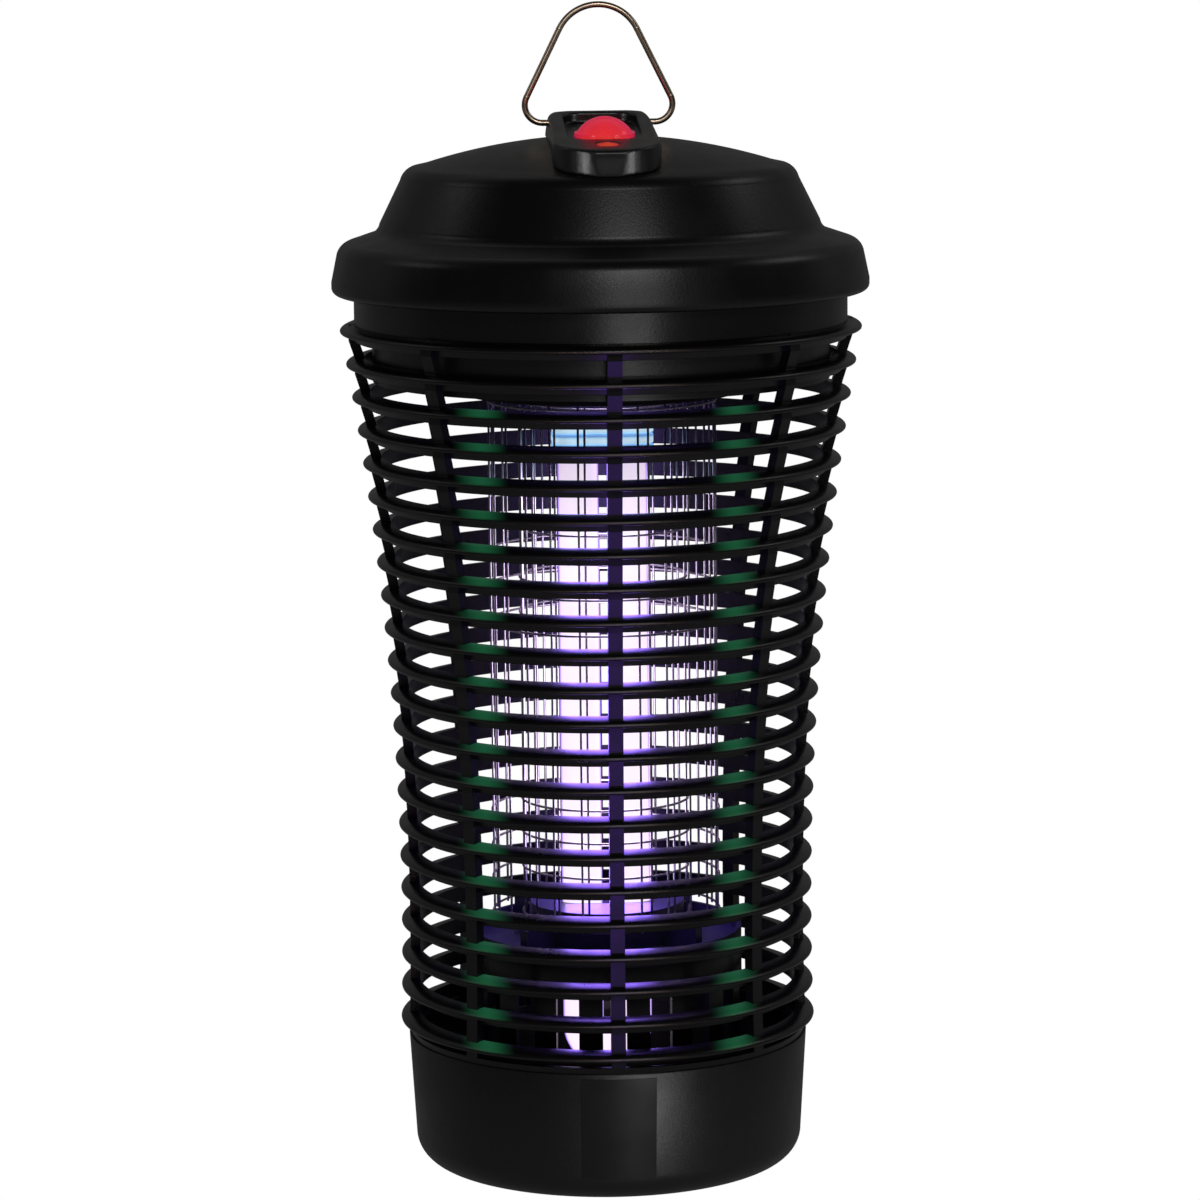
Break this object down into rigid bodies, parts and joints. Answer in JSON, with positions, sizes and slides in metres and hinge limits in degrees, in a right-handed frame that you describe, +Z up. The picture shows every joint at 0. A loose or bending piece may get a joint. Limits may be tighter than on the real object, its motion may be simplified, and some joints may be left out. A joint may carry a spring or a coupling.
{
  "type": "electric bug zapper",
  "caption": "Hanging electric insect killer with a domed cap, a waisted louvre guard, wire grids round an ultraviolet lamp, and a drop-off catch tray.",
  "frame": {"origin": "middle of the tray's flat bottom", "axes": "+Z up along the lamp, -Y towards the side with the signal lens, the pilot light and the tray's label; +X to the right seen from behind -Y"},
  "size_m": [0.2252, 0.2252, 0.4917],
  "materials": {
    "black_plastic": "satin, lightly grained moulding",
    "block_plastic": "satin moulding",
    "lens_red": "clear red moulding over a lamp",
    "pilot_orange": "clear orange-red moulding",
    "led_body": "gloss",
    "gland_rubber": "matt",
    "drum_grey": "satin",
    "zinc_sheet": "zinc-plated sheet",
    "core_iron": "varnished laminations",
    "coil_wrap": "amber tape over copper wire",
    "board_green": "solder mask",
    "cap_sleeve": "shrink sleeve",
    "resistor_body": "ceramic",
    "terminal_green": "matt",
    "nylon": "matt",
    "socket_white": "gloss",
    "contact_brass": "bright",
    "grid_wire": "bright drawn wire",
    "screw_steel": "zinc-plated",
    "lead_black": "insulated lead",
    "lead_white": "insulated lead",
    "lead_red": "insulated lead",
    "bail_wire": "drawn wire, dull bronze tone",
    "lamp_glow": "coated tube that gives violet light",
    "lamp_white": "gloss",
    "pin_metal": "bright",
    "label_black": "gloss film, blank"
  },
  "bodies": {
    "housing": {"top_cap": "black_plastic", "hanger_block": "block_plastic", "signal_lens": "lens_red", "pilot_lens": "pilot_orange", "signal_leds": "led_body", "cord_gland": "gland_rubber", "cord_clamp": "black_plastic", "guard_collar": "black_plastic", "guard_ribs": "black_plastic", "guard_foot": "black_plastic", "guard_rings": "black_plastic", "socket_drum": "drum_grey", "chassis_plate": "zinc_sheet", "transformer_core": "core_iron", "transformer_coil": "coil_wrap", "transformer_bracket": "zinc_sheet", "circuit_board": "board_green", "capacitors": "cap_sleeve", "resistors": "resistor_body", "terminal_block": "terminal_green", "board_pillars": "nylon", "lamp_socket": "socket_white", "socket_contacts": "contact_brass", "upper_grid_plate": "black_plastic", "outer_grid": "grid_wire", "inner_grid": "grid_wire", "grid_terminals": "contact_brass", "lower_grid_holder": "black_plastic", "lamp_guard": "black_plastic", "cap_screws": "screw_steel", "block_screws": "screw_steel", "chassis_screws": "screw_steel", "supply_leads": "lead_black", "lamp_leads": "lead_white", "grid_leads": "lead_red"},
    "lamp": {"lamp_glass": "lamp_glow", "lamp_base": "lamp_white", "lamp_pins": "pin_metal"},
    "tray": {"collection_tray": "black_plastic", "label_plate": "label_black"},
    "bail": {"hanging_bail": "bail_wire"}
  },
  "joints": [
    {"name": "bail_swing", "type": "hinge", "parent": "housing", "child": "bail", "pos_m": [0, 0, 0.4416], "axis": [1, 0, 0], "range_deg": [-90, 80]},
    {"name": "tray_drop", "type": "slide", "parent": "housing", "child": "tray", "axis": [0, 0, -1], "range_m": [0, 0.06]},
    {"name": "lamp_pull", "type": "slide", "parent": "housing", "child": "lamp", "axis": [0, 0, -1], "range_m": [0, 0.009]}
  ]
}
